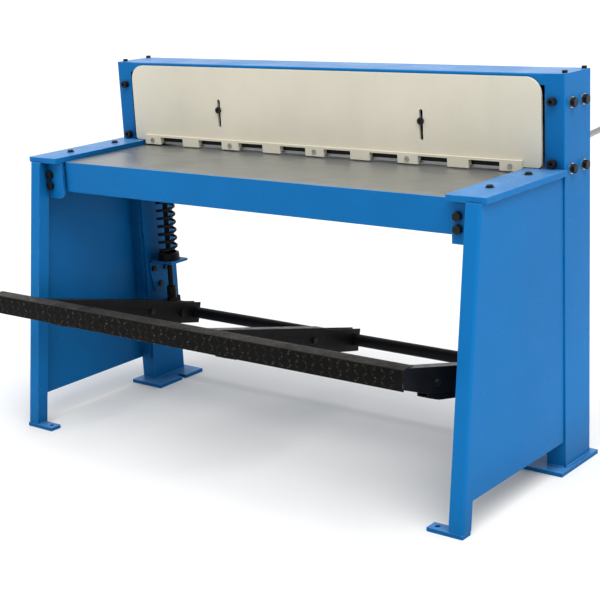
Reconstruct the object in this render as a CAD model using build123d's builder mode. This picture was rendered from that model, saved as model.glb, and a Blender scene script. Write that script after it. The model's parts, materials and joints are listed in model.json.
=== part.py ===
"""Treadle squaring shear (foot guillotine) for sheet metal, as an assembly of separate pieces.

Frame: +X to the operator's right, +Y to the back, +Z up, millimetres. The floor is Z = 0 and the
origin lies under the middle of the machine's overall box.
"""

import os
from math import cos, radians, sin, sqrt, tan

from build123d import *

os.makedirs("parts", exist_ok=True)

SIDES = (("left", -1), ("right", 1))

# Driving dimensions: the standing frame.
COLUMN_IN, COLUMN_OUT = 761, 819
COLUMN_FRONT, COLUMN_BACK = 30, 175
COLUMN_TOP, COLUMN_WALL = 1100, 6
REAR_FOOT_TOP, FRONT_FOOT_TOP = 12, 11
FLOOR_HOLE_RADIUS = 7
LEG_IN, LEG_OUT, SHEET, BEND_RADIUS = 771, 814, 6, 8
LEG_TOP, LEG_DEPTH = 834, 40
LEG_FRONT_TOP, LEG_FRONT_FLOOR = -385, -500
PANEL_BOTTOM = 88

# Driving dimensions: the table and the blades.
TABLE_TOP, TABLE_THICK, TABLE_HALF = 834, 16, 704
APRON_FRONT, APRON_BOTTOM = -341, 740
STRIP_TOP, STRIP_IN, STRIP_OUT = 850, 707, 826
BLADE_HALF, BLADE_HEIGHT, BLADE_THICK = 668, 60, 14
CUT_PLANE, BLADE_CLEARANCE = 66, 0.1
BLADE_REST_GAP, BLADE_RAKE = 6.5, 20
BEAM_FRONT = CUT_PLANE + BLADE_CLEARANCE + BLADE_THICK
BEAM_THICK = 24
BEAM_BOTTOM, BEAM_TOP, BEAM_HALF = 866, 1080, 735
HORN_BOTTOM = 690

# Driving dimensions: the hold-down and its finger guard.
PLATE_FRONT, PLATE_THICK, PLATE_HALF, PLATE_MIDDLE = 21, 8, 751, 3
PLATE_BOTTOM, PLATE_TOP, PLATE_CORNER = 851, 1091, 47
PLATE_BACK = PLATE_FRONT + PLATE_THICK
GUARD_THICK, GUARD_HALF = 9, 699
GUARD_BOTTOM, GUARD_TOP = TABLE_TOP + 5, 869.5
WINDOW_TOP, WINDOW_WIDTH, WINDOW_PITCH = 862, 98, 166.5
PAD_BOTTOM, PAD_TOP, CLAMP_TOP = TABLE_TOP + 6, 847, 885
GUIDE_PIN_Y, GUIDE_PIN_X = 42, (-560, -190, 190, 560)
SLOT_X, SLOT_RADIUS, SLOT_LOW, SLOT_HIGH, SLOT_SCREW_Z = 377, 6, 905, 993, 960

# Driving dimensions: link rods, return springs and the treadle.
ROD_X, ROD_Y, ROD_RADIUS = 708, 88, 9
PIN_Z, PIN_RADIUS = 249, 8
PIVOT_Y, PIVOT_Z, SHAFT_RADIUS = 154, 234, 19
BRACKET_TOP, SEAT_FLOOR, SPRING_TOP = 432, 438, 670
SPRING_MEAN_RADIUS, SPRING_WIRE, SPRING_TURNS = 28.5, 4.7, 9
ARM_X = (-682, 0, 682)
ARM_HALF, ARM_WALL = 17, 4
ARM_SLOPE = tan(radians(13.9))
ARM_BACK, ARM_BACK_TOP = 183, 263
BAR_LEFT, BAR_RIGHT, BAR_FRONT = -832, 703, -579
BAR_BOTTOM, BAR_TOP, BAR_BACK, BAR_THICK = 396, 453, -532, 4

# Driving dimensions: the back gauge.
GAUGE_X, GAUGE_ROD_RADIUS, GAUGE_TILT = 690, 9, 4
GAUGE_ROOT_Z = 857
GAUGE_ROD_END = -BAR_FRONT
GAUGE_Y = 285

FIT = 0.05  # radial clearance of a shaft or pin in its bore
HOLE_PLAY = 0.2  # radial clearance of a bolt in its hole


def block(x, y, z, mode=Mode.ADD):
    """Adds a box given its two limits on each axis."""
    with Locations(((x[0] + x[1]) / 2, (y[0] + y[1]) / 2, (z[0] + z[1]) / 2)):
        Box(abs(x[1] - x[0]), abs(y[1] - y[0]), abs(z[1] - z[0]), mode=mode)


def both(sign, low, high):
    """Limits on X of a piece on one side of the machine."""
    return (sign * low, sign * high)


def rod(start, direction, radius, length, mode=Mode.ADD):
    """Adds a cylinder that starts at a point and runs along a direction."""
    with Locations(Plane(origin=start, z_dir=direction)):
        Cylinder(radius, length, align=(Align.CENTER, Align.CENTER, Align.MIN), mode=mode)


def side_profile(points, x, mode=Mode.ADD):
    """Adds a plate whose outline lies in the YZ plane, between two X limits."""
    low, high = min(x), max(x)
    with BuildSketch(Plane.YZ.offset(low)) as outline:
        with BuildLine():
            Polyline(*points, close=True)
        make_face()
    extrude(outline.sketch, amount=high - low, mode=mode)


def hex_bolt(seat, direction, flats, head, shank_radius, length):
    """Adds a hexagon bolt: its head stands on the seat, its shank goes the other way."""
    with BuildSketch(Plane(origin=seat, z_dir=direction)) as hexagon:
        RegularPolygon(radius=flats / sqrt(3), side_count=6)
    extrude(hexagon.sketch, amount=head)
    rod(seat, [-d for d in direction], shank_radius, length)


def cap_screw(seat, direction, head_radius, head, shank_radius, length):
    """Adds a round-head screw with a hexagon socket."""
    rod(seat, direction, head_radius, head)
    top = [s + d * head for s, d in zip(seat, direction)]
    with BuildSketch(Plane(origin=top, z_dir=direction)) as socket:
        RegularPolygon(radius=head_radius * 0.5, side_count=6)
    extrude(socket.sketch, amount=-head * 0.6, mode=Mode.SUBTRACT)
    rod(seat, [-d for d in direction], shank_radius, length)


def leg_front(z):
    """Y of the slanted front face of a leg at a height."""
    return LEG_FRONT_TOP + (LEG_FRONT_FLOOR - LEG_FRONT_TOP) * (LEG_TOP - z) / LEG_TOP


def arm_top(y):
    """Height of the top edge of a treadle arm."""
    return ARM_BACK_TOP + (ARM_BACK - y) * ARM_SLOPE


# ---------------------------------------------------------------- standing frame

SIDE_BOLT_YZ = [(y, z) for y in (66, 134) for z in (848, 1023)]
SIDE_BOLT_RADIUS = 6
FRONT_BOLT_X, FRONT_BOLT_Z = 785, (865, 1028)
TOP_BOLT_X, TOP_BOLT_Y = 806, (55, 163)
BRACKET_BOLT_YZ = ((55, 401), (113, 396), (83, 344))
BEARING_BOLT_YZ = ((112, 205), (112, 263))
SMALL_BOLT_RADIUS = 5
BRACKET_WALL = 8
RAIL_IN, RAIL_FRONT, RAIL_BACK, RAIL_BOTTOM, RAIL_TOP = 739, 48, 146, 836, 1045
TONGUE_FRONT, TONGUE_BACK, TONGUE_END = 84, 112, 751
STRIP_BOLT_X, STRIP_BOLT_Y = 764, (-259, -65)
LEG_BRACKETS = ((-771, -704, -757), (711, 771, 731))  # both X limits, then the bolts' X
LEG_BOLT_Z = (760, 793)
LEG_BRACKET_FRONT = -356
LEG_TAB_IN, LEG_TAB_FRONT = 745, -345
STRIP_NOTCH = 18

for side, sign in SIDES:
    front_low, front_high = leg_front(FRONT_FOOT_TOP), leg_front(LEG_TOP)
    inner_top = LEG_TOP - SHEET
    with BuildPart() as side_frame:
        side_profile(
            [
                (front_low, FRONT_FOOT_TOP),
                (front_high, LEG_TOP),
                (COLUMN_FRONT, LEG_TOP),
                (COLUMN_FRONT, PANEL_BOTTOM),
                (leg_front(PANEL_BOTTOM) + LEG_DEPTH, PANEL_BOTTOM),
                (front_low + LEG_DEPTH, FRONT_FOOT_TOP),
            ],
            both(sign, LEG_IN, LEG_OUT),
        )
        fillet(
            side_frame.edges().filter_by(
                lambda e: abs(abs(e.center().X) - LEG_OUT) < 1
                and abs(e.center().Y - (LEG_FRONT_TOP + LEG_FRONT_FLOOR) / 2) < 2
            ),
            radius=BEND_RADIUS,
        )
        for depth, x in ((SHEET, (LEG_IN + SHEET, LEG_OUT - SHEET)), (LEG_DEPTH, (LEG_IN, LEG_IN + SHEET))):
            side_profile(
                [
                    (leg_front(0) + depth, 0),
                    (leg_front(inner_top) + depth, inner_top),
                    (COLUMN_FRONT - SHEET, inner_top),
                    (COLUMN_FRONT - SHEET, 0),
                ],
                both(sign, *x),
                Mode.SUBTRACT,
            )
        block(both(sign, LEG_TAB_IN, LEG_IN + SHEET), (LEG_TAB_FRONT, COLUMN_FRONT), (inner_top, LEG_TOP))
        for y in STRIP_BOLT_Y:
            rod(
                (sign * STRIP_BOLT_X, y, LEG_TOP), (0, 0, -1),
                SMALL_BOLT_RADIUS + HOLE_PLAY, 20, Mode.SUBTRACT,
            )
    side_frame.part.label = f"side_frame_{side}"
    export_step(side_frame.part, f"parts/side_frame_{side}.step")

    with BuildPart() as rear_column:
        block(both(sign, COLUMN_IN, COLUMN_OUT), (COLUMN_FRONT, COLUMN_BACK), (REAR_FOOT_TOP, COLUMN_TOP))
        fillet(
            rear_column.edges().filter_by(Axis.Z).filter_by(
                lambda e: abs(abs(e.center().X) - COLUMN_OUT) < 1
            ),
            radius=3,
        )
        block(
            both(sign, COLUMN_IN + COLUMN_WALL, COLUMN_OUT - COLUMN_WALL),
            (COLUMN_FRONT + COLUMN_WALL, COLUMN_BACK - COLUMN_WALL),
            (REAR_FOOT_TOP, COLUMN_TOP - COLUMN_WALL),
            Mode.SUBTRACT,
        )
        for y, z in SIDE_BOLT_YZ:
            rod((sign * COLUMN_OUT, y, z), (-sign, 0, 0), SIDE_BOLT_RADIUS + HOLE_PLAY, 70, Mode.SUBTRACT)
        for z in FRONT_BOLT_Z:
            rod(
                (sign * FRONT_BOLT_X, COLUMN_FRONT, z), (0, 1, 0),
                SIDE_BOLT_RADIUS + HOLE_PLAY, 10, Mode.SUBTRACT,
            )
        for y in TOP_BOLT_Y:
            rod(
                (sign * TOP_BOLT_X, y, COLUMN_TOP), (0, 0, -1),
                SMALL_BOLT_RADIUS + HOLE_PLAY, 10, Mode.SUBTRACT,
            )
        for y, z in BRACKET_BOLT_YZ + BEARING_BOLT_YZ:
            rod(
                (sign * COLUMN_IN, y, z), (sign, 0, 0),
                SMALL_BOLT_RADIUS + HOLE_PLAY, 10, Mode.SUBTRACT,
            )
    rear_column.part.label = f"rear_column_{side}"
    export_step(rear_column.part, f"parts/rear_column_{side}.step")

    with BuildPart() as end_strip:
        block(both(sign, STRIP_IN, STRIP_OUT), (-378, COLUMN_FRONT), (LEG_TOP, STRIP_TOP))
        fillet(end_strip.edges().filter_by(Axis.Z).group_by(Axis.Y)[0], radius=4)
        chamfer(end_strip.edges().group_by(Axis.Z)[-1], length=1)
        block(
            both(sign, STRIP_IN, PLATE_HALF + 6), (STRIP_NOTCH, COLUMN_FRONT),
            (LEG_TOP, STRIP_TOP), Mode.SUBTRACT,
        )
        for y in STRIP_BOLT_Y:
            rod(
                (sign * STRIP_BOLT_X, y, STRIP_TOP), (0, 0, -1),
                SMALL_BOLT_RADIUS + HOLE_PLAY, 20, Mode.SUBTRACT,
            )
    end_strip.part.label = f"end_strip_{side}"
    export_step(end_strip.part, f"parts/end_strip_{side}.step")

with BuildPart() as front_feet:
    for side, sign in SIDES:
        block(both(sign, 706, LEG_OUT), (LEG_FRONT_FLOOR, -461), (0, FRONT_FOOT_TOP))
        rod((sign * 727, -479, 0), (0, 0, 1), FLOOR_HOLE_RADIUS, FRONT_FOOT_TOP, Mode.SUBTRACT)
front_feet.part.label = "front_feet"
export_step(front_feet.part, "parts/front_feet.step")

with BuildPart() as rear_feet:
    for side, sign in SIDES:
        block(both(sign, 698, 831), (-12, 202), (0, REAR_FOOT_TOP))
        rod((sign * 792, 190, 0), (0, 0, 1), FLOOR_HOLE_RADIUS, REAR_FOOT_TOP, Mode.SUBTRACT)
        rod((sign * 722, 106, 0), (0, 0, 1), 9.5, REAR_FOOT_TOP, Mode.SUBTRACT)
        block(both(sign, 690, 722), (96.5, 115.5), (0, REAR_FOOT_TOP), Mode.SUBTRACT)
rear_feet.part.label = "rear_feet"
export_step(rear_feet.part, "parts/rear_feet.step")

with BuildPart() as top_beam:
    block((-COLUMN_IN, COLUMN_IN), (COLUMN_FRONT, COLUMN_BACK), (COLUMN_TOP - 8, COLUMN_TOP))
    block((-COLUMN_IN, COLUMN_IN), (COLUMN_FRONT, COLUMN_FRONT + SHEET), (1070, COLUMN_TOP))
    block((-COLUMN_IN, COLUMN_IN), (COLUMN_BACK - SHEET, COLUMN_BACK), (1030, COLUMN_TOP))
    fillet(
        top_beam.edges().filter_by(Axis.X).filter_by(lambda e: e.center().Z > COLUMN_TOP - 1),
        radius=4,
    )
top_beam.part.label = "top_beam"
export_step(top_beam.part, "parts/top_beam.step")

with BuildPart() as leg_brackets:
    for low, high, bolt_x in LEG_BRACKETS:
        with BuildSketch(Plane.XZ.offset(-(LEG_BRACKET_FRONT + 8))):
            with Locations(((low + high) / 2, 776.5)):
                Rectangle(high - low, 111)
            fillet(vertices().group_by(Axis.Y)[0].sort_by(Axis.X)[-1], radius=20)
            with Locations(*((bolt_x, z) for z in LEG_BOLT_Z)):
                Circle(SIDE_BOLT_RADIUS + HOLE_PLAY, mode=Mode.SUBTRACT)
        extrude(amount=8)
leg_brackets.part.label = "leg_brackets"
export_step(leg_brackets.part, "parts/leg_brackets.step")

with BuildPart() as table_cleats:
    for (side, sign), (low, high, bolt_x) in zip(SIDES, LEG_BRACKETS):
        block(both(sign, TABLE_HALF + 5, 767), (-348, -336), (745, 818))
        block(both(sign, TABLE_HALF, 712), (-336, -250), (745, LEG_TOP))
        for z in LEG_BOLT_Z:
            rod((bolt_x, -348, z), (0, 1, 0), SIDE_BOLT_RADIUS + HOLE_PLAY, 12, Mode.SUBTRACT)
table_cleats.part.label = "table_cleats"
export_step(table_cleats.part, "parts/table_cleats.step")

with BuildPart() as spring_brackets:
    for side, sign in SIDES:
        wall = COLUMN_IN - BRACKET_WALL
        block(both(sign, 663, COLUMN_IN), (51, 131), (BRACKET_TOP - BRACKET_WALL, BRACKET_TOP))
        side_profile(
            [(42, 424), (142, 424), (142, 385), (110, 322), (60, 322), (42, 385)],
            both(sign, wall, COLUMN_IN),
        )
        rod((sign * ROD_X, ROD_Y, BRACKET_TOP), (0, 0, -1), 12, 10, Mode.SUBTRACT)
        for y, z in BRACKET_BOLT_YZ:
            rod(
                (sign * wall, y, z), (sign, 0, 0),
                SMALL_BOLT_RADIUS + HOLE_PLAY, BRACKET_WALL, Mode.SUBTRACT,
            )
spring_brackets.part.label = "spring_brackets"
export_step(spring_brackets.part, "parts/spring_brackets.step")

with BuildPart() as spring_seats:
    for side, sign in SIDES:
        centre = (sign * ROD_X, ROD_Y, BRACKET_TOP)
        with Locations(centre):
            Cone(36.5, 35, 24, align=(Align.CENTER, Align.CENTER, Align.MIN))
            Cylinder(12, 24, align=(Align.CENTER, Align.CENTER, Align.MIN), mode=Mode.SUBTRACT)
        with Locations((sign * ROD_X, ROD_Y, SEAT_FLOOR)):
            Cylinder(33.5, 30, align=(Align.CENTER, Align.CENTER, Align.MIN), mode=Mode.SUBTRACT)
spring_seats.part.label = "spring_seats"
export_step(spring_seats.part, "parts/spring_seats.step")

HUB_IN, BEARING_WALL = 722, 8
with BuildPart() as pivot_bearings:
    for side, sign in SIDES:
        wall = COLUMN_IN - BEARING_WALL
        block(both(sign, wall, COLUMN_IN), (98, COLUMN_BACK), (188, 280))
        rod((sign * COLUMN_IN, PIVOT_Y, PIVOT_Z), (-sign, 0, 0), 32, COLUMN_IN - HUB_IN)
        rod((sign * wall, PIVOT_Y, PIVOT_Z), (-sign, 0, 0), SHAFT_RADIUS + FIT, 40, Mode.SUBTRACT)
        for y, z in BEARING_BOLT_YZ:
            rod(
                (sign * wall, y, z), (sign, 0, 0),
                SMALL_BOLT_RADIUS + HOLE_PLAY, BEARING_WALL, Mode.SUBTRACT,
            )
pivot_bearings.part.label = "pivot_bearings"
export_step(pivot_bearings.part, "parts/pivot_bearings.step")

with BuildPart() as guide_rails:
    for side, sign in SIDES:
        block(both(sign, RAIL_IN, COLUMN_IN), (RAIL_FRONT, RAIL_BACK), (RAIL_BOTTOM, RAIL_TOP))
        block(
            both(sign, RAIL_IN - 1, TONGUE_END), (TONGUE_FRONT, TONGUE_BACK),
            (RAIL_BOTTOM, RAIL_TOP), Mode.SUBTRACT,
        )
        for y, z in SIDE_BOLT_YZ:
            rod((sign * COLUMN_IN, y, z), (-sign, 0, 0), SIDE_BOLT_RADIUS + HOLE_PLAY, 15, Mode.SUBTRACT)
guide_rails.part.label = "guide_rails"
export_step(guide_rails.part, "parts/guide_rails.step")

with BuildPart() as column_side_bolts:
    for side, sign in SIDES:
        for y, z in SIDE_BOLT_YZ:
            hex_bolt((sign * (COLUMN_OUT + 2.5), y, z), (sign, 0, 0), 22, 12, SIDE_BOLT_RADIUS, 75)
column_side_bolts.part.label = "column_side_bolts"
export_step(column_side_bolts.part, "parts/column_side_bolts.step")

with BuildPart() as column_side_washers:
    for side, sign in SIDES:
        for y, z in SIDE_BOLT_YZ:
            rod((sign * COLUMN_OUT, y, z), (sign, 0, 0), 15, 2.5)
            rod((sign * COLUMN_OUT, y, z), (sign, 0, 0), SIDE_BOLT_RADIUS + HOLE_PLAY, 2.5, Mode.SUBTRACT)
column_side_washers.part.label = "column_side_washers"
export_step(column_side_washers.part, "parts/column_side_washers.step")

with BuildPart() as column_front_bolts:
    for side, sign in SIDES:
        for z in FRONT_BOLT_Z:
            cap_screw((sign * FRONT_BOLT_X, COLUMN_FRONT, z), (0, -1, 0), 11, 16, SIDE_BOLT_RADIUS, 18)
column_front_bolts.part.label = "column_front_bolts"
export_step(column_front_bolts.part, "parts/column_front_bolts.step")

with BuildPart() as column_top_bolts:
    for side, sign in SIDES:
        for y in TOP_BOLT_Y:
            hex_bolt((sign * TOP_BOLT_X, y, COLUMN_TOP), (0, 0, 1), 14, 7, SMALL_BOLT_RADIUS, 18)
column_top_bolts.part.label = "column_top_bolts"
export_step(column_top_bolts.part, "parts/column_top_bolts.step")

with BuildPart() as end_strip_bolts:
    for side, sign in SIDES:
        for y in STRIP_BOLT_Y:
            seat = (sign * STRIP_BOLT_X, y, STRIP_TOP)
            rod(seat, (0, 0, 1), 12, 1.5)
            cap_screw((seat[0], y, STRIP_TOP + 1.5), (0, 0, 1), 9, 5, SMALL_BOLT_RADIUS, 34)
end_strip_bolts.part.label = "end_strip_bolts"
export_step(end_strip_bolts.part, "parts/end_strip_bolts.step")

with BuildPart() as leg_bracket_bolts:
    for low, high, bolt_x in LEG_BRACKETS:
        for z in LEG_BOLT_Z:
            hex_bolt((bolt_x, LEG_BRACKET_FRONT, z), (0, -1, 0), 22, 12, SIDE_BOLT_RADIUS, 34)
leg_bracket_bolts.part.label = "leg_bracket_bolts"
export_step(leg_bracket_bolts.part, "parts/leg_bracket_bolts.step")

with BuildPart() as bracket_and_bearing_bolts:
    for side, sign in SIDES:
        for y, z in BRACKET_BOLT_YZ + BEARING_BOLT_YZ:
            seat = (sign * (COLUMN_IN - BRACKET_WALL), y, z)
            hex_bolt(seat, (-sign, 0, 0), 17, 8, SMALL_BOLT_RADIUS, 24)
bracket_and_bearing_bolts.part.label = "bracket_and_bearing_bolts"
export_step(bracket_and_bearing_bolts.part, "parts/bracket_and_bearing_bolts.step")

# ---------------------------------------------------------------- table and lower blade

TABLE_BACK = CUT_PLANE - BLADE_THICK
TABLE_UNDER = TABLE_TOP - TABLE_THICK
BED_FRONT = 32
RIB_X, RIB_THICK = (-450, 0, 450), 10
BLADE_SCREW_X = [150 * i for i in range(-4, 5)]
BLADE_SCREW_RADIUS = 5
LOWER_SCREW_Z = 800

with BuildPart() as table_plate:
    block((-TABLE_HALF, TABLE_HALF), (APRON_FRONT + SHEET, TABLE_BACK), (TABLE_UNDER, TABLE_TOP))
    chamfer(table_plate.edges().filter_by(Axis.X).group_by(Axis.Z)[-1].sort_by(Axis.Y)[0], length=1)
table_plate.part.label = "table_plate"
export_step(table_plate.part, "parts/table_plate.step")

with BuildPart() as apron:
    block((-702, 702), (APRON_FRONT, APRON_FRONT + SHEET), (APRON_BOTTOM, TABLE_TOP))
    block((-702, 702), (APRON_FRONT, -300), (APRON_BOTTOM, APRON_BOTTOM + SHEET))
    fillet(apron.edges().filter_by(Axis.X).group_by(Axis.Z)[0].sort_by(Axis.Y)[0], radius=4)
apron.part.label = "apron"
export_step(apron.part, "parts/apron.step")

with BuildPart() as table_ribs:
    for x in RIB_X:
        side_profile(
            [
                (APRON_FRONT + SHEET, TABLE_UNDER),
                (BED_FRONT, TABLE_UNDER),
                (BED_FRONT, 700),
                (-200, 760),
                (APRON_FRONT + SHEET, 760),
            ],
            (x - RIB_THICK / 2, x + RIB_THICK / 2),
        )
table_ribs.part.label = "table_ribs"
export_step(table_ribs.part, "parts/table_ribs.step")

with BuildPart() as bed_beam:
    block((-COLUMN_IN, COLUMN_IN), (BED_FRONT, TABLE_BACK), (HORN_BOTTOM, TABLE_UNDER))
    for x in BLADE_SCREW_X:
        rod((x, TABLE_BACK, LOWER_SCREW_Z), (0, -1, 0), BLADE_SCREW_RADIUS + HOLE_PLAY, 20, Mode.SUBTRACT)
bed_beam.part.label = "bed_beam"
export_step(bed_beam.part, "parts/bed_beam.step")

with BuildPart() as lower_blade:
    block((-BLADE_HALF, BLADE_HALF), (TABLE_BACK, CUT_PLANE), (TABLE_TOP - BLADE_HEIGHT, TABLE_TOP))
    for x in BLADE_SCREW_X:
        rod((x, TABLE_BACK, LOWER_SCREW_Z), (0, 1, 0), BLADE_SCREW_RADIUS + HOLE_PLAY, 20, Mode.SUBTRACT)
        rod((x, CUT_PLANE, LOWER_SCREW_Z), (0, -1, 0), 8.5, 7, Mode.SUBTRACT)
lower_blade.part.label = "lower_blade"
export_step(lower_blade.part, "parts/lower_blade.step")

with BuildPart() as lower_blade_screws:
    for x in BLADE_SCREW_X:
        cap_screw((x, CUT_PLANE - 7, LOWER_SCREW_Z), (0, 1, 0), 8, 6, BLADE_SCREW_RADIUS, 20)
lower_blade_screws.part.label = "lower_blade_screws"
export_step(lower_blade_screws.part, "parts/lower_blade_screws.step")

# ---------------------------------------------------------------- moving blade beam

BEAM_BACK = BEAM_FRONT + BEAM_THICK
LUG_FRONT = PLATE_BACK + 1.5
LUG_TOP = HORN_BOTTOM + 22
RUNNING = 0.1
SPRING_LUG_BOTTOM, SPRING_LUG_TOP = 985, 997
BLADE_BOTTOM = TABLE_TOP + BLADE_REST_GAP
GAUGE_DIRECTION = (0, cos(radians(GAUGE_TILT)), sin(radians(GAUGE_TILT)))
BOSS_START_Y = BEAM_BACK - 4


def blade_edge(x):
    """Height of the upper blade's cutting edge, which rises from left to right."""
    return BLADE_BOTTOM + BLADE_RAKE * (x + BLADE_HALF) / (2 * BLADE_HALF)


def gauge_point(y):
    """Point on the axis of a back-gauge rod at a distance behind the origin, without its X."""
    return GAUGE_ROOT_Z + (y - BEAM_BACK) * tan(radians(GAUGE_TILT))


with BuildPart() as blade_beam:
    block((-BEAM_HALF, BEAM_HALF), (BEAM_FRONT, BEAM_BACK), (BEAM_BOTTOM, BEAM_TOP))
    block((-BEAM_HALF, BEAM_HALF), (BEAM_BACK, 150), (BEAM_TOP - 20, BEAM_TOP))
    for x in (-350, 0, 350):
        side_profile(
            [(BEAM_BACK, 880), (125, 900), (150, BEAM_TOP - 20), (BEAM_BACK, BEAM_TOP - 20)],
            (x - 5, x + 5),
        )
    for side, sign in SIDES:
        block(both(sign, BLADE_HALF + 1, BEAM_HALF), (BEAM_FRONT, BEAM_BACK), (HORN_BOTTOM, BEAM_BOTTOM))
        block(
            both(sign, BEAM_HALF, TONGUE_END - RUNNING),
            (TONGUE_FRONT + RUNNING, BEAM_BACK), (850, 1040),
        )
        block(both(sign, 672, BEAM_HALF), (64, BEAM_BACK), (HORN_BOTTOM, LUG_TOP))
        block(both(sign, 688, 728), (BEAM_FRONT - 1, BEAM_BACK + 1), (LUG_TOP, 750), Mode.SUBTRACT)
        rod((sign * ROD_X, ROD_Y, LUG_TOP), (0, 0, -1), ROD_RADIUS + FIT, 30, Mode.SUBTRACT)
        block(both(sign, SLOT_X - 18, SLOT_X + 18), (LUG_FRONT, BEAM_FRONT), (945, 975))
        rod((sign * SLOT_X, LUG_FRONT, SLOT_SCREW_Z), (0, 1, 0), 5 + HOLE_PLAY, 45, Mode.SUBTRACT)
        start = (sign * GAUGE_X, BOSS_START_Y, gauge_point(BOSS_START_Y))
        rod(start, GAUGE_DIRECTION, 16, 34)
        bore = (sign * GAUGE_X, BEAM_BACK + 2, gauge_point(BEAM_BACK + 2))
        rod(bore, GAUGE_DIRECTION, GAUGE_ROD_RADIUS + FIT, 40, Mode.SUBTRACT)
    for x in GUIDE_PIN_X:
        block((x - 20, x + 20), (LUG_FRONT, BEAM_FRONT), (SPRING_LUG_BOTTOM, SPRING_LUG_TOP))
        rod((x, GUIDE_PIN_Y, SPRING_LUG_TOP), (0, 0, -1), 6.5, 20, Mode.SUBTRACT)
    for x in BLADE_SCREW_X:
        rod(
            (x, BEAM_FRONT, blade_edge(x) + 38), (0, 1, 0),
            BLADE_SCREW_RADIUS + HOLE_PLAY, 18, Mode.SUBTRACT,
        )
blade_beam.part.label = "blade_beam"
export_step(blade_beam.part, "parts/blade_beam.step")

with BuildPart() as upper_blade:
    with BuildSketch(Plane.XZ.offset(-BEAM_FRONT)):
        with BuildLine():
            Polyline(
                (-BLADE_HALF, blade_edge(-BLADE_HALF)),
                (BLADE_HALF, blade_edge(BLADE_HALF)),
                (BLADE_HALF, blade_edge(BLADE_HALF) + BLADE_HEIGHT),
                (-BLADE_HALF, blade_edge(-BLADE_HALF) + BLADE_HEIGHT),
                close=True,
            )
        make_face()
    extrude(amount=BLADE_THICK)
    for x in BLADE_SCREW_X:
        centre = (x, BEAM_FRONT, blade_edge(x) + 38)
        rod(centre, (0, -1, 0), BLADE_SCREW_RADIUS + HOLE_PLAY, 20, Mode.SUBTRACT)
        head = (x, BEAM_FRONT - BLADE_THICK, blade_edge(x) + 38)
        rod(head, (0, 1, 0), 8.5, 7, Mode.SUBTRACT)
upper_blade.part.label = "upper_blade"
export_step(upper_blade.part, "parts/upper_blade.step")

with BuildPart() as upper_blade_screws:
    for x in BLADE_SCREW_X:
        seat = (x, BEAM_FRONT - BLADE_THICK + 7, blade_edge(x) + 38)
        cap_screw(seat, (0, -1, 0), 8, 6, BLADE_SCREW_RADIUS, 20)
upper_blade_screws.part.label = "upper_blade_screws"
export_step(upper_blade_screws.part, "parts/upper_blade_screws.step")

with BuildPart() as slot_screws:
    for side, sign in SIDES:
        cap_screw((sign * SLOT_X, PLATE_FRONT - 0.5, SLOT_SCREW_Z), (0, -1, 0), 10, 6, 5, 50)
slot_screws.part.label = "slot_screws"
export_step(slot_screws.part, "parts/slot_screws.step")

with BuildPart() as link_rods:
    for side, sign in SIDES:
        rod((sign * ROD_X, ROD_Y, 306), (0, 0, 1), ROD_RADIUS, 434)
link_rods.part.label = "link_rods"
export_step(link_rods.part, "parts/link_rods.step")

with BuildPart() as rod_nuts:
    for side, sign in SIDES:
        for low, height in ((SPRING_TOP + 8, 12), (LUG_TOP, 14)):
            with BuildSketch(Plane.XY.offset(low)):
                with Locations((sign * ROD_X, ROD_Y)):
                    RegularPolygon(radius=15.5, side_count=6)
                    Circle(ROD_RADIUS + FIT, mode=Mode.SUBTRACT)
            extrude(amount=height)
rod_nuts.part.label = "rod_nuts"
export_step(rod_nuts.part, "parts/rod_nuts.step")

with BuildPart() as spring_caps:
    for side, sign in SIDES:
        rod((sign * ROD_X, ROD_Y, SPRING_TOP), (0, 0, 1), 34.5, 8)
        rod((sign * ROD_X, ROD_Y, SPRING_TOP), (0, 0, 1), ROD_RADIUS + FIT, 8, Mode.SUBTRACT)
spring_caps.part.label = "spring_caps"
export_step(spring_caps.part, "parts/spring_caps.step")

EYE_IN, EYE_OUT, EYE_RADIUS = 700.5, 715.5, 18
with BuildPart() as rod_eyes:
    for side, sign in SIDES:
        rod((sign * ROD_X, ROD_Y, 298), (0, 0, 1), 16, 40)
        rod((sign * EYE_IN, ROD_Y, PIN_Z), (sign, 0, 0), EYE_RADIUS, EYE_OUT - EYE_IN)
        block(both(sign, EYE_IN, EYE_OUT), (ROD_Y - 16, ROD_Y + 16), (PIN_Z, 300))
        rod((sign * (EYE_IN - 1), ROD_Y, PIN_Z), (sign, 0, 0), PIN_RADIUS + FIT, 20, Mode.SUBTRACT)
        rod((sign * ROD_X, ROD_Y, 306), (0, 0, 1), ROD_RADIUS + FIT, 40, Mode.SUBTRACT)
rod_eyes.part.label = "rod_eyes"
export_step(rod_eyes.part, "parts/rod_eyes.step")

with BuildPart() as link_pins:
    for side, sign in SIDES:
        rod((sign * 655, ROD_Y, PIN_Z), (sign, 0, 0), 13, 8)
        rod((sign * 655, ROD_Y, PIN_Z), (sign, 0, 0), PIN_RADIUS, 66)
        rod((sign * (EYE_OUT + 0.5), ROD_Y, PIN_Z), (sign, 0, 0), 12, 3)
link_pins.part.label = "link_pins"
export_step(link_pins.part, "parts/link_pins.step")

with BuildPart() as return_springs:
    for side, sign in SIDES:
        height = SPRING_TOP - SEAT_FLOOR - 2 * SPRING_WIRE
        with BuildLine(mode=Mode.PRIVATE) as coil:
            Helix(
                pitch=height / SPRING_TURNS, height=height, radius=SPRING_MEAN_RADIUS,
                center=(sign * ROD_X, ROD_Y, SEAT_FLOOR + SPRING_WIRE),
            )
        with BuildSketch(Plane(origin=coil.line @ 0, z_dir=coil.line % 0)):
            Circle(SPRING_WIRE)
        sweep(path=coil.line, is_frenet=True)
return_springs.part.label = "return_springs"
export_step(return_springs.part, "parts/return_springs.step")

# ---------------------------------------------------------------- hold-down and finger guard

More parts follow.
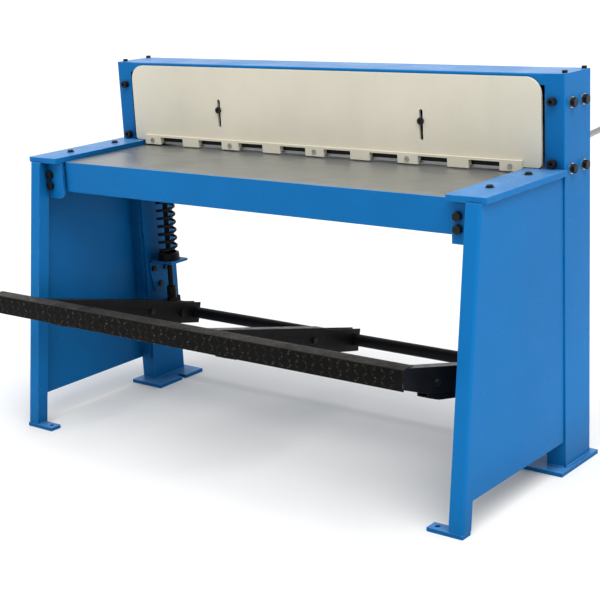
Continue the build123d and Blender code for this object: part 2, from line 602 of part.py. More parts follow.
WINDOW_X = [WINDOW_PITCH * (i + 0.5) for i in range(-4, 4)]
GUARD_SCREW_X, GUARD_SCREW_Z = (-665, -332, 0, 332, 665), 853
SMALL_SCREW_RADIUS = 3

with BuildPart() as hold_down_plate:
    with BuildSketch(Plane.XZ.offset(-PLATE_BACK)):
        with Locations((PLATE_MIDDLE, (PLATE_BOTTOM + PLATE_TOP) / 2)):
            Rectangle(2 * PLATE_HALF, PLATE_TOP - PLATE_BOTTOM)
        fillet(vertices().group_by(Axis.Y)[-1], radius=PLATE_CORNER)
        fillet(vertices().group_by(Axis.Y)[0], radius=10)
        with Locations((0, PLATE_BOTTOM)):
            Rectangle(2 * GUARD_HALF, 12)
        for x in WINDOW_X:
            with Locations((x, (GUARD_BOTTOM + WINDOW_TOP) / 2)):
                Rectangle(WINDOW_WIDTH, WINDOW_TOP - GUARD_BOTTOM, mode=Mode.SUBTRACT)
        for x in (-SLOT_X, SLOT_X):
            with Locations((x, (SLOT_LOW + SLOT_HIGH) / 2)):
                SlotOverall(SLOT_HIGH - SLOT_LOW, 2 * SLOT_RADIUS, rotation=90, mode=Mode.SUBTRACT)
        with Locations(*((x, GUARD_SCREW_Z) for x in GUARD_SCREW_X)):
            Circle(SMALL_SCREW_RADIUS + HOLE_PLAY, mode=Mode.SUBTRACT)
    extrude(amount=PLATE_THICK)
hold_down_plate.part.label = "hold_down_plate"
export_step(hold_down_plate.part, "parts/hold_down_plate.step")

with BuildPart() as finger_guard:
    with BuildSketch(Plane.XZ.offset(-PLATE_FRONT)):
        with Locations((0, (GUARD_BOTTOM + GUARD_TOP) / 2)):
            Rectangle(2 * GUARD_HALF, GUARD_TOP - GUARD_BOTTOM)
        for x in WINDOW_X:
            with Locations((x, (GUARD_BOTTOM + WINDOW_TOP) / 2)):
                Rectangle(WINDOW_WIDTH, WINDOW_TOP - GUARD_BOTTOM, mode=Mode.SUBTRACT)
        with Locations(*((x, GUARD_SCREW_Z) for x in GUARD_SCREW_X)):
            Circle(SMALL_SCREW_RADIUS + HOLE_PLAY, mode=Mode.SUBTRACT)
    extrude(amount=GUARD_THICK)
finger_guard.part.label = "finger_guard"
export_step(finger_guard.part, "parts/finger_guard.step")

with BuildPart() as guard_screws:
    for x in GUARD_SCREW_X:
        seat = (x, PLATE_FRONT - GUARD_THICK, GUARD_SCREW_Z)
        cap_screw(seat, (0, -1, 0), 7, 4, SMALL_SCREW_RADIUS, 20)
guard_screws.part.label = "guard_screws"
export_step(guard_screws.part, "parts/guard_screws.step")

with BuildPart() as clamp_bar:
    block((-GUARD_HALF, GUARD_HALF), (PLATE_BACK, 53), (PAD_TOP, CLAMP_TOP))
    for x in GUARD_SCREW_X:
        rod((x, PLATE_BACK, GUARD_SCREW_Z), (0, 1, 0), SMALL_SCREW_RADIUS + HOLE_PLAY, 14, Mode.SUBTRACT)
    for x in GUIDE_PIN_X:
        rod((x, GUIDE_PIN_Y, CLAMP_TOP), (0, 0, -1), 6 + FIT, 20, Mode.SUBTRACT)
clamp_bar.part.label = "clamp_bar"
export_step(clamp_bar.part, "parts/clamp_bar.step")

with BuildPart() as clamp_pad:
    block((-GUARD_HALF, GUARD_HALF), (PLATE_BACK, 62), (PAD_BOTTOM, PAD_TOP))
clamp_pad.part.label = "clamp_pad"
export_step(clamp_pad.part, "parts/clamp_pad.step")

with BuildPart() as guide_pins:
    for x in GUIDE_PIN_X:
        rod((x, GUIDE_PIN_Y, CLAMP_TOP - 20), (0, 0, 1), 6, 150)
guide_pins.part.label = "guide_pins"
export_step(guide_pins.part, "parts/guide_pins.step")

HOLD_WIRE, HOLD_RADIUS, HOLD_TURNS = 1.6, 10, 11
with BuildPart() as hold_down_springs:
    for x in GUIDE_PIN_X:
        height = SPRING_LUG_BOTTOM - CLAMP_TOP - 2 * HOLD_WIRE - 0.4
        with BuildLine(mode=Mode.PRIVATE) as coil:
            Helix(
                pitch=height / HOLD_TURNS, height=height, radius=HOLD_RADIUS,
                center=(x, GUIDE_PIN_Y, CLAMP_TOP + HOLD_WIRE + 0.2),
            )
        with BuildSketch(Plane(origin=coil.line @ 0, z_dir=coil.line % 0)):
            Circle(HOLD_WIRE)
        sweep(path=coil.line, is_frenet=True)
hold_down_springs.part.label = "hold_down_springs"
export_step(hold_down_springs.part, "parts/hold_down_springs.step")

# ---------------------------------------------------------------- treadle

ARM_BACK_BOTTOM = (166, 194)
ARM_FRONT, ARM_STEP = -463, (-415, 326)
EXTENSION_HALF, EXTENSION_TOP = 21, 5
EXTENSION_FRONT, EXTENSION_BACK = BAR_FRONT + BAR_THICK, 2
TREADLE_BOLT_YZ = ((-430, 378), (-60, 290))
PIN_HOLE_RADIUS = 10.5

for name, arm_x in zip(("left", "middle", "right"), ARM_X):
    with BuildPart() as treadle_arm:
        side_profile(
            [
                (ARM_FRONT, arm_top(ARM_FRONT)),
                (ARM_BACK, ARM_BACK_TOP),
                ARM_BACK_BOTTOM,
                ARM_STEP,
                (ARM_FRONT, 345),
            ],
            (arm_x - ARM_HALF, arm_x + ARM_HALF),
        )
        side_profile(
            [
                (ARM_FRONT - 1, arm_top(ARM_FRONT) + 20),
                (ARM_BACK + 5, ARM_BACK_TOP + 20),
                (ARM_BACK_BOTTOM[0] + 8, ARM_BACK_BOTTOM[1] + ARM_WALL),
                (ARM_STEP[0], ARM_STEP[1] + ARM_WALL),
                (ARM_FRONT - 1, 345 + ARM_WALL),
            ],
            (arm_x - ARM_HALF + ARM_WALL, arm_x + ARM_HALF - ARM_WALL),
            Mode.SUBTRACT,
        )
        start = (arm_x - 30, PIVOT_Y, PIVOT_Z)
        rod(start, (1, 0, 0), SHAFT_RADIUS + FIT, 60, Mode.SUBTRACT)
        for y, z in TREADLE_BOLT_YZ:
            rod((arm_x - 30, y, z), (1, 0, 0), SMALL_BOLT_RADIUS + HOLE_PLAY, 60, Mode.SUBTRACT)
        if arm_x:
            rod((arm_x - 30, ROD_Y, PIN_Z), (1, 0, 0), PIN_HOLE_RADIUS, 60, Mode.SUBTRACT)
    treadle_arm.part.label = f"treadle_arm_{name}"
    export_step(treadle_arm.part, f"parts/treadle_arm_{name}.step")

with BuildPart() as arm_extensions:
    under_bar = BAR_TOP - BAR_THICK
    knee = ARM_BACK - (under_bar - ARM_BACK_TOP - EXTENSION_TOP) / ARM_SLOPE
    for arm_x in ARM_X:
        side_profile(
            [
                (EXTENSION_FRONT, 400),
                (EXTENSION_FRONT, under_bar),
                (knee, under_bar),
                (EXTENSION_BACK, arm_top(EXTENSION_BACK) + EXTENSION_TOP),
                (EXTENSION_BACK, 298),
                (-35, 264),
                (ARM_FRONT, 356),
            ],
            (arm_x - EXTENSION_HALF, arm_x + EXTENSION_HALF),
        )
        side_profile(
            [
                (EXTENSION_FRONT - 5, 200),
                (EXTENSION_FRONT - 5, under_bar - EXTENSION_TOP),
                (knee, under_bar - EXTENSION_TOP),
                (EXTENSION_BACK + 10, arm_top(EXTENSION_BACK + 10) + FIT),
                (EXTENSION_BACK + 10, 200),
            ],
            (arm_x - ARM_HALF - FIT, arm_x + ARM_HALF + FIT),
            Mode.SUBTRACT,
        )
        for y, z in TREADLE_BOLT_YZ:
            rod((arm_x - 30, y, z), (1, 0, 0), SMALL_BOLT_RADIUS + HOLE_PLAY, 60, Mode.SUBTRACT)
arm_extensions.part.label = "arm_extensions"
export_step(arm_extensions.part, "parts/arm_extensions.step")

with BuildPart() as treadle_bolts:
    for arm_x in ARM_X:
        for y, z in TREADLE_BOLT_YZ:
            hex_bolt((arm_x + EXTENSION_HALF, y, z), (1, 0, 0), 17, 7, SMALL_BOLT_RADIUS, 52)
treadle_bolts.part.label = "treadle_bolts"
export_step(treadle_bolts.part, "parts/treadle_bolts.step")

with BuildPart() as foot_bar:
    block((BAR_LEFT, BAR_RIGHT), (BAR_FRONT, BAR_FRONT + BAR_THICK), (BAR_BOTTOM, BAR_TOP))
    block((BAR_LEFT, BAR_RIGHT), (BAR_FRONT, BAR_BACK), (BAR_TOP - BAR_THICK, BAR_TOP))
    fillet(
        foot_bar.edges().filter_by(Axis.X).filter_by(
            lambda e: e.center().Z > BAR_TOP - 1 and e.center().Y < BAR_FRONT + 1
        ),
        radius=3,
    )
foot_bar.part.label = "foot_bar"
export_step(foot_bar.part, "parts/foot_bar.step")

with BuildPart() as treadle_shaft:
    rod((-752, PIVOT_Y, PIVOT_Z), (1, 0, 0), SHAFT_RADIUS, 1504)
treadle_shaft.part.label = "treadle_shaft"
export_step(treadle_shaft.part, "parts/treadle_shaft.step")

with BuildPart() as shaft_collars:
    for side, sign in SIDES:
        rod((sign * 701, PIVOT_Y, PIVOT_Z), (sign, 0, 0), 27, 15)
        rod((sign * 701, PIVOT_Y, PIVOT_Z), (sign, 0, 0), SHAFT_RADIUS + FIT, 15, Mode.SUBTRACT)
shaft_collars.part.label = "shaft_collars"
export_step(shaft_collars.part, "parts/shaft_collars.step")

# ---------------------------------------------------------------- back gauge

CLAMP_HALF = 20
GAUGE_Z = gauge_point(GAUGE_Y)
gauge_up = (0, -sin(radians(GAUGE_TILT)), cos(radians(GAUGE_TILT)))

with BuildPart() as gauge_rods:
    for side, sign in SIDES:
        start = (sign * GAUGE_X, BEAM_BACK + 4, gauge_point(BEAM_BACK + 4))
        with BuildSketch(Plane(origin=start, z_dir=GAUGE_DIRECTION)):
            Circle(GAUGE_ROD_RADIUS)
        end_y = GAUGE_ROD_END - GAUGE_ROD_RADIUS * sin(radians(GAUGE_TILT))
        extrude(amount=(end_y - BEAM_BACK - 4) / cos(radians(GAUGE_TILT)))
gauge_rods.part.label = "gauge_rods"
export_step(gauge_rods.part, "parts/gauge_rods.step")

with BuildPart() as gauge_clamps:
    for side, sign in SIDES:
        plane = Plane(origin=(sign * GAUGE_X, GAUGE_Y, GAUGE_Z), x_dir=(1, 0, 0), z_dir=GAUGE_DIRECTION)
        with BuildSketch(plane):
            Rectangle(2 * CLAMP_HALF, 2 * CLAMP_HALF)
            Circle(GAUGE_ROD_RADIUS + FIT, mode=Mode.SUBTRACT)
        extrude(amount=25, both=True)
        centre = (sign * GAUGE_X, GAUGE_Y, GAUGE_Z)
        rod(centre, gauge_up, 5 + FIT, 40, Mode.SUBTRACT)
gauge_clamps.part.label = "gauge_clamps"
export_step(gauge_clamps.part, "parts/gauge_clamps.step")

for side, sign in SIDES:
    base = [sign * GAUGE_X, GAUGE_Y, GAUGE_Z]
    foot = [b + u * (GAUGE_ROD_RADIUS + 0.6) for b, u in zip(base, gauge_up)]
    seat = [b + u * (CLAMP_HALF + 2) for b, u in zip(base, gauge_up)]
    with BuildPart() as gauge_knob:
        rod(foot, gauge_up, 5, CLAMP_HALF)
        rod(seat, gauge_up, 9, 6)
        with BuildSketch(Plane(origin=[s + u * 6 for s, u in zip(seat, gauge_up)], z_dir=gauge_up)):
            Circle(17)
            with PolarLocations(19, 6):
                Circle(5, mode=Mode.SUBTRACT)
        extrude(amount=14)
    gauge_knob.part.label = f"gauge_knob_{side}"
    export_step(gauge_knob.part, f"parts/gauge_knob_{side}.step")

FENCE_BOTTOM, FENCE_TOP, FENCE_THICK = -50, 20, 5
with BuildPart() as gauge_bar:
    gauge_plane = Plane(origin=(0, GAUGE_Y, GAUGE_Z), x_dir=(1, 0, 0), z_dir=GAUGE_DIRECTION)
    with BuildSketch(gauge_plane.offset(-25)):
        with Locations((0, (FENCE_BOTTOM + FENCE_TOP) / 2)):
            Rectangle(1400, FENCE_TOP - FENCE_BOTTOM)
        with Locations((-GAUGE_X, 0), (GAUGE_X, 0)):
            Circle(GAUGE_ROD_RADIUS + 3, mode=Mode.SUBTRACT)
    extrude(amount=-FENCE_THICK)
gauge_bar.part.label = "gauge_bar"
export_step(gauge_bar.part, "parts/gauge_bar.step")
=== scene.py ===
"""Looks for the treadle squaring shear: materials, springs, chequer plate, light and camera."""

import json
import math

import bmesh
import bpy
from mathutils import Matrix, Vector, noise


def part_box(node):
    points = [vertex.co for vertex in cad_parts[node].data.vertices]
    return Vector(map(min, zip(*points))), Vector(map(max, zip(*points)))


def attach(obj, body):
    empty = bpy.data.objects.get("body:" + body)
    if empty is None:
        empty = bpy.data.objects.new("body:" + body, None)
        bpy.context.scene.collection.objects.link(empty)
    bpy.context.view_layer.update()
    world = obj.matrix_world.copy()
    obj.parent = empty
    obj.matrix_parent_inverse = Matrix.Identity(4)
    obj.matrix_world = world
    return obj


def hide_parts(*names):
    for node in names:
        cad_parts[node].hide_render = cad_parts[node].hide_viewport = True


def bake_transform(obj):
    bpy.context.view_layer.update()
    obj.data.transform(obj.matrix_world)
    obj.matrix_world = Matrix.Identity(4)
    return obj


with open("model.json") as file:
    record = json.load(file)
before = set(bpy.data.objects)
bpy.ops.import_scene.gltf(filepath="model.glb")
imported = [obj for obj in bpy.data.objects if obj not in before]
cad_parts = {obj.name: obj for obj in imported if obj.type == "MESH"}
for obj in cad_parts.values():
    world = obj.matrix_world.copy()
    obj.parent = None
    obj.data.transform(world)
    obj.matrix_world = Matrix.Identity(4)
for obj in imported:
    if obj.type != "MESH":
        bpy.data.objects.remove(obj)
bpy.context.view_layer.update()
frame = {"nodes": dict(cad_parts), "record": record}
NODES = frame["nodes"]
SLOTS = {part["node"]: part["material_slot"] for part in frame["record"]["subparts"]}

# All lengths are in metres unless a comment says otherwise.

# Camera: yaw, pitch and roll in degrees, lens and sensor width in millimetres.
CAMERA_TURN = (-39.1092, -15.0048, -3.0291)
CAMERA_PLACE = (2.5567, -3.2364, 1.5108)
CAMERA_LENS, CAMERA_SENSOR = 84.107, 36

# Studio: sky colours, sun strength, its angular width in degrees, floor half size.
SKY_FRONT, SKY_BACK, SKY_ZENITH = (0.30, 0.33, 0.35), (1.05, 1.07, 1.09), (0.70, 0.71, 0.72)
SKY_HORIZON = (0.97, 0.98, 1.0)
SUN_TOWARDS, SUN_STRENGTH, SUN_SPREAD, SUN_COLOUR = (0.35, -0.30, 1.0), 2.9, 50, (1, 0.995, 0.98)
FLOOR_REACH, FLOOR_TONES = 80, ((0.76, 0.76, 0.76), (0.78, 0.78, 0.78))

# Springs: radius to the middle of the wire, radius of the wire, turns between the end coils.
RETURN_SPRING = {"mean": 0.0285, "wire": 0.0047, "turns": 7.3}
HOLD_DOWN_SPRING = {"mean": 0.010, "wire": 0.0016, "turns": 11}
# End coils: turns at each end and their pitch in wire diameters. Then how finely a wire is drawn.
END_TURNS, END_PITCH = 1.25, 1.02
STEPS_PER_TURN, WIRE_SIDES = 28, 10
# The springs stand round the link rods and round the guide pins.
ROD_RADIUS = 0.009
GUIDE_PIN_X = (-0.560, -0.190, 0.190, 0.560)

# Chequer plate of the foot bar: plate, bend and raised marks.
PLATE_THICK, BEND_RADIUS, BEND_STEPS = 0.004, 0.005, 6
MARK_RISE, MARK_LENGTH, MARK_WIDTH, MARK_PITCH = 0.0009, 0.0185, 0.0046, 0.0270
MARK_FIRST, MARK_MARGIN, MARK_CORNERS = 0.018, 0.02, 10
# Rings of a mark: its height and its size at each, as shares of the full height and size.
MARK_LEVELS = ((-0.5, 1.0), (0.0, 1.0), (0.75, 0.72), (1.0, 0.35))

# Weld beads: radii, how far they stop short of a corner, and the leg's width at its foot.
COLUMN_BEAD, LEG_BEAD, BEAD_STEP, BEAD_SIDES = 0.0035, 0.003, 0.0016, 8
COLUMN_BEAD_GAP, LEG_BEAD_FRONT_GAP, LEG_BEAD_BACK_GAP = 0.004, 0.008, 0.006
LEG_WIDTH = 0.043

# Rounded edges of the CAD pieces, by width.
EDGE_WIDTHS = {
    0.0022: ("hold_down_plate",),
    0.0018: ("rear_column_left", "rear_column_right"),
    0.0015: ("top_beam",),
    0.0010: (
        "finger_guard", "leg_brackets", "front_feet", "rear_feet", "gauge_bar",
        "treadle_arm_left", "treadle_arm_middle", "treadle_arm_right",
    ),
    0.0008: ("apron", "column_side_bolts", "column_front_bolts", "leg_bracket_bolts", "arm_extensions"),
    0.0006: (
        "end_strip_left", "end_strip_right", "column_top_bolts", "bracket_and_bearing_bolts",
        "end_strip_bolts",
    ),
}
EDGE_WIDTH = {node: width for width, nodes in EDGE_WIDTHS.items() for node in nodes}
BEVEL_STEPS, BEVEL_ANGLE, WELD_DISTANCE = 2, 50, 0.000002


# ---------------------------------------------------------------- camera and light

def aim_camera():
    """A camera at the front right, a little above table height, with a slight roll."""
    yaw, pitch, roll = (math.radians(angle) for angle in CAMERA_TURN)
    forward = Vector((math.sin(yaw) * math.cos(pitch), math.cos(yaw) * math.cos(pitch), math.sin(pitch)))
    right = Vector((math.cos(yaw), -math.sin(yaw), 0))
    up = right.cross(forward)
    turned_right = right * math.cos(roll) + up * math.sin(roll)
    turned_up = up * math.cos(roll) - right * math.sin(roll)
    data = bpy.data.cameras.new("camera")
    data.lens, data.sensor_width = CAMERA_LENS, CAMERA_SENSOR
    data.clip_start, data.clip_end = 0.05, 500
    camera = bpy.data.objects.new("camera", data)
    bpy.context.scene.collection.objects.link(camera)
    rotation = Matrix((turned_right, turned_up, -forward)).transposed().to_4x4()
    camera.matrix_world = Matrix.Translation(CAMERA_PLACE) @ rotation
    bpy.context.scene.camera = camera


def sun(name, towards, strength, spread, colour):
    """A wide soft sun that shines from one direction."""
    data = bpy.data.lights.new(name, "SUN")
    data.energy, data.angle, data.color = strength, math.radians(spread), colour
    light = bpy.data.objects.new(name, data)
    bpy.context.scene.collection.objects.link(light)
    light.rotation_euler = Vector(towards).to_track_quat("Z", "Y").to_euler()


def studio_sky(front, back, zenith):
    """A pale sky that is darker in front and overhead than behind the machine."""
    world = bpy.data.worlds.new("studio")
    bpy.context.scene.world = world
    world.use_nodes = True
    nodes, links = world.node_tree.nodes, world.node_tree.links
    split = nodes.new("ShaderNodeSeparateXYZ")
    links.new(nodes.new("ShaderNodeTexCoord").outputs["Generated"], split.inputs[0])

    def blend(value, low, high, a, b):
        """One colour below a value and another above it, with a smooth change between them."""
        span = nodes.new("ShaderNodeMapRange")
        links.new(value, span.inputs["Value"])
        span.inputs["From Min"].default_value, span.inputs["From Max"].default_value = low, high
        mix = nodes.new("ShaderNodeMix")
        mix.data_type = "RGBA"
        links.new(span.outputs["Result"], mix.inputs["Factor"])
        for colour, socket in ((a, mix.inputs[6]), (b, mix.inputs[7])):
            if isinstance(colour, tuple):
                socket.default_value = (*colour, 1)
            else:
                links.new(colour, socket)
        return mix.outputs[2]

    around = blend(split.outputs["Y"], -0.7, 0.7, front, back)
    low = blend(split.outputs["Z"], 0.08, 0.22, SKY_HORIZON, around)
    sky = blend(split.outputs["Z"], 0.25, 0.9, low, zenith)
    links.new(sky, nodes["Background"].inputs["Color"])


# ---------------------------------------------------------------- material helpers

class Surface:
    """A node-based material on one Principled shader, with short calls for the usual nodes."""

    def __init__(self, name, **settings):
        """Settings are shader inputs by name, such as metallic or specular_ior_level."""
        self.material = bpy.data.materials.new(name)
        self.material.use_nodes = True
        self.nodes, self.links = self.material.node_tree.nodes, self.material.node_tree.links
        self.shader = next(n for n in self.nodes if n.type == "BSDF_PRINCIPLED")
        self.place = self.nodes.new("ShaderNodeTexCoord").outputs["Object"]
        for key, value in settings.items():
            self.shader.inputs[key.replace("_", " ").title().replace("Ior", "IOR")].default_value = value

    def put(self, value, socket):
        """Links a socket's value, or sets a plain colour or number."""
        if isinstance(value, bpy.types.NodeSocket):
            self.links.new(value, socket)
        elif isinstance(value, (tuple, list)) and len(value) == 3 and socket.type == "RGBA":
            socket.default_value = (*value, 1)
        else:
            socket.default_value = value

    def stretched(self, scale):
        """The object's own coordinates, scaled on each axis."""
        node = self.nodes.new("ShaderNodeMapping")
        node.inputs["Scale"].default_value = scale
        self.links.new(self.place, node.inputs["Vector"])
        return node.outputs["Vector"]

    def noise(self, scale, detail, rough, stretch=None, distortion=0.0):
        """Soft noise in object coordinates, stretched along an axis where asked."""
        node = self.nodes.new("ShaderNodeTexNoise")
        self.links.new(self.stretched(stretch) if stretch else self.place, node.inputs["Vector"])
        settings = {"Scale": scale, "Detail": detail, "Roughness": rough, "Distortion": distortion}
        for key, value in settings.items():
            node.inputs[key].default_value = value
        return node.outputs["Fac"]

    def ramp(self, value, low, high, start=0.0, end=1.0):
        """Maps low..high to start..end, held at both ends."""
        node = self.nodes.new("ShaderNodeMapRange")
        self.links.new(value, node.inputs["Value"])
        for key, number in (("From Min", low), ("From Max", high), ("To Min", start), ("To Max", end)):
            node.inputs[key].default_value = number
        return node.outputs["Result"]

    def math(self, operation, a, b):
        """One calculation on two values."""
        node = self.nodes.new("ShaderNodeMath")
        node.operation = operation
        self.put(a, node.inputs[0])
        self.put(b, node.inputs[1])
        return node.outputs["Value"]

    def mix(self, factor, a, b):
        """Colour a where the factor is 0 and colour b where it is 1."""
        node = self.nodes.new("ShaderNodeMix")
        node.data_type = "RGBA"
        self.put(factor, node.inputs["Factor"])
        for name, colour in (("A", a), ("B", b)):
            socket = next(i for i in node.inputs if i.name == name and i.type == "RGBA")
            self.put(colour, socket)
        return next(o for o in node.outputs if o.type == "RGBA")

    def facing(self, axis):
        """How far the surface faces along an object axis, from -1 to 1."""
        node = self.nodes.new("ShaderNodeSeparateXYZ")
        self.links.new(self.place.node.outputs["Normal"], node.inputs["Vector"])
        return node.outputs[axis]

    def edges(self, radius):
        """1 on sharp edges, 0 on flat faces."""
        bevel = self.nodes.new("ShaderNodeBevel")
        bevel.samples = 4
        bevel.inputs["Radius"].default_value = radius
        geometry = self.nodes.new("ShaderNodeNewGeometry")
        dot = self.nodes.new("ShaderNodeVectorMath")
        dot.operation = "DOT_PRODUCT"
        self.links.new(bevel.outputs["Normal"], dot.inputs[0])
        self.links.new(geometry.outputs["Normal"], dot.inputs[1])
        return self.ramp(dot.outputs["Value"], 0.998, 0.86)

    def recess(self, reach, open_at, closed_at):
        """1 in deep corners and under shelves, 0 where the surface is open, felt out to a distance."""
        node = self.nodes.new("ShaderNodeAmbientOcclusion")
        node.samples = 6
        node.inputs["Distance"].default_value = reach
        return self.ramp(node.outputs["AO"], open_at, closed_at)

    def bump(self, height, distance, strength, under=None):
        """A surface relief from a height value, on top of another relief where given."""
        node = self.nodes.new("ShaderNodeBump")
        node.inputs["Distance"].default_value = distance
        node.inputs["Strength"].default_value = strength
        self.links.new(height, node.inputs["Height"])
        if under is not None:
            self.links.new(under, node.inputs["Normal"])
        return node.outputs["Normal"]

    def finish(self, colour, roughness, normal=None):
        """Joins the finished values to the shader."""
        for value, key in ((colour, "Base Color"), (roughness, "Roughness"), (normal, "Normal")):
            if value is not None:
                self.put(value, self.shader.inputs[key])
        return self.material


def shade(colour, by):
    """A colour made darker or lighter by a factor."""
    return tuple(min(1.0, c * by) for c in colour)


def enamel(name, colour, dusty, chip, gloss=(0.24, 0.38), shine=0.06, edge_highlight=0.18, painted_shade_share=0.85):
    """Enamel: slow tone changes, orange peel, dust on top faces, painted shade in recesses, painted
    highlights on edges, worn edges.
    """
    s = Surface(name, specular_ior_level=shine)
    clouds = s.noise(2.2, 3, 0.55)
    tone = s.mix(s.ramp(clouds, 0.3, 0.7), shade(colour, 0.93), shade(colour, 1.07))
    mottle = s.noise(26, 5, 0.6)
    tone = s.mix(s.ramp(mottle, 0.45, 0.75, 0, 0.06), tone, shade(colour, 1.3))
    streaks = s.noise(14, 4, 0.6, stretch=(1, 1, 0.08))
    tone = s.mix(s.ramp(streaks, 0.5, 0.8, 0, 0.10), tone, shade(colour, 0.7))
    top = s.ramp(s.facing("Z"), 0.6, 0.95)
    settled = s.math("MULTIPLY", top, s.ramp(s.noise(9, 6, 0.65), 0.35, 0.75, 0.3, 1.0))
    tone = s.mix(s.math("MULTIPLY", settled, 0.36), tone, dusty)
    # Painted shade: the paint is darkened where little light reaches, in corners, under the table and
    # under shelves, more in some patches than in others.
    patches = s.ramp(clouds, 0.3, 0.7, painted_shade_share, painted_shade_share * 0.8)
    painted_shade = s.math("MULTIPLY", s.recess(reach=0.38, open_at=0.72, closed_at=0.34), patches)
    tone = s.mix(painted_shade, tone, shade(colour, 0.22))
    edges = s.edges(0.0022)
    broken = s.math("MULTIPLY", edges, s.ramp(s.noise(60, 5, 0.7), 0.48, 0.66, 0, 0.5))
    # Painted highlight: every edge is lightened to stand in for light caught on its rounded edge. The
    # chips mixed in next are real wear.
    tone = s.mix(s.math("MULTIPLY", edges, edge_highlight), tone, shade(colour, 1.5))
    tone = s.mix(broken, tone, chip)
    rough = s.ramp(s.noise(6, 3, 0.5), 0.3, 0.7, *gloss)
    rough = s.math("MAXIMUM", rough, s.math("MULTIPLY", broken, 0.6))
    peel = s.bump(s.noise(420, 3, 0.5), 0.00012, 0.6)
    waves = s.bump(s.noise(7, 2, 0.5), 0.0012, 0.10, under=peel)
    return s.finish(tone, rough, waves)


def bare_steel(name, colour, dark, grain, rough=(0.25, 0.42), metallic=1.0, grain_scale=220):
    """Ground or drawn steel: fine lines along one direction, a few stains, brighter edges."""
    s = Surface(name, metallic=metallic)
    lines = s.noise(grain_scale, 3, 0.65, stretch=grain)
    broad = s.noise(grain_scale * 0.12, 4, 0.6, stretch=grain)
    clouds = s.noise(4.5, 5, 0.6)
    tone = s.mix(s.ramp(lines, 0.3, 0.7), shade(colour, 0.82), shade(colour, 1.15))
    tone = s.mix(s.ramp(broad, 0.4, 0.7, 0, 0.35), tone, shade(colour, 0.75))
    tone = s.mix(s.ramp(clouds, 0.48, 0.75, 0, 0.35), tone, dark)
    tone = s.mix(s.math("MULTIPLY", s.edges(0.0015), 0.5), tone, shade(colour, 1.6))
    roughness = s.math("ADD", s.ramp(lines, 0.3, 0.7, *rough), s.ramp(clouds, 0.4, 0.8, 0, 0.15))
    return s.finish(tone, roughness, s.bump(lines, 0.00008, 0.5))


def black_finish(
    name, colour, glint, scratch, rough=(0.3, 0.5), rub=0.5, dust=0.05, shine=0.2, fleck=(0.35, 0.62),
):
    """Black enamel or oxide on steel: rubbed edges, scuffs that show brown-grey, a little dust."""
    s = Surface(name, specular_ior_level=shine)
    clouds = s.noise(8, 5, 0.6)
    tone = s.mix(s.ramp(clouds, 0.3, 0.75), colour, shade(colour, 1.9))
    scuffs = s.noise(75, 6, 0.75, distortion=0.6)
    tone = s.mix(s.ramp(scuffs, 0.58, 0.74, 0, scratch), tone, glint)
    edges = s.edges(0.0016)
    worn = s.math("MULTIPLY", edges, s.ramp(s.noise(90, 4, 0.7), *fleck, 0.1 * rub, rub))
    tone = s.mix(worn, tone, glint)
    top = s.ramp(s.facing("Z"), 0.5, 0.95)
    settled = s.math("MULTIPLY", top, s.ramp(clouds, 0.3, 0.7, 0.3 * dust, dust))
    tone = s.mix(settled, tone, (0.30, 0.27, 0.23))
    roughness = s.ramp(s.noise(40, 5, 0.65), 0.3, 0.7, *rough)
    return s.finish(tone, roughness, s.bump(s.noise(300, 4, 0.6), 0.0002, 0.5))


BLUE = (0.004, 0.145, 0.410)
BEIGE = (0.70, 0.65, 0.53)
MATERIALS = {
    "blue_paint": enamel("blue_enamel", BLUE, (0.30, 0.50, 0.80), (0.30, 0.40, 0.52)),
    # The beige plate gets a strong painted highlight on its edges and only a little painted shade in its
    # recesses.
    "beige_paint": enamel(
        "beige_enamel", BEIGE, (0.78, 0.75, 0.66), (0.45, 0.41, 0.33),
        gloss=(0.35, 0.5), shine=0.3, edge_highlight=0.6, painted_shade_share=0.25,
    ),
    "black_paint": black_finish(
        "black_enamel", (0.0045, 0.0045, 0.0050), (0.06, 0.05, 0.045), scratch=0.015, shine=0.08,
    ),
    "chequer_plate": black_finish(
        "black_chequer", (0.0022, 0.0021, 0.0020), (0.38, 0.32, 0.23),
        rub=0.85, scratch=0.01, dust=0.14, shine=0.06, fleck=(0.52, 0.60),
    ),
    "ground_plate": bare_steel(
        "ground_table", (0.37, 0.38, 0.37), (0.17, 0.17, 0.165), (0.05, 1, 1),
        rough=(0.28, 0.46), metallic=0.85,
    ),
    "tool_steel": bare_steel("blade_steel", (0.55, 0.55, 0.55), (0.3, 0.29, 0.27), (0.03, 1, 1)),
    "machined_steel": bare_steel("machined_steel", (0.45, 0.45, 0.44), (0.2, 0.19, 0.17), (1, 1, 0.06)),
    "bright_rod": bare_steel(
        "drawn_rod", (0.36, 0.36, 0.345), (0.18, 0.175, 0.16), (1, 0.04, 1), rough=(0.18, 0.3),
    ),
    "black_oxide": black_finish(
        "black_oxide", (0.004, 0.004, 0.0045), (0.10, 0.09, 0.08), rough=(0.3, 0.45), scratch=0.03,
    ),
    "zinc_plate": bare_steel(
        "zinc_plate", (0.50, 0.50, 0.47), (0.24, 0.22, 0.18), (1, 1, 1), rough=(0.25, 0.4), grain_scale=90,
    ),
    "spring_steel": black_finish(
        "spring_black", (0.005, 0.005, 0.006), (0.08, 0.075, 0.07), rough=(0.3, 0.42), scratch=0.08,
    ),
    "knob_plastic": black_finish(
        "knob_plastic", (0.005, 0.005, 0.005), (0.03, 0.03, 0.03),
        rough=(0.42, 0.55), rub=0.2, scratch=0.05,
    ),
}


def dress(obj, slot):
    """Gives an object one material in all its slots."""
    if not obj.material_slots:
        obj.data.materials.append(None)
    for material_slot in obj.material_slots:
        material_slot.material = MATERIALS[slot]


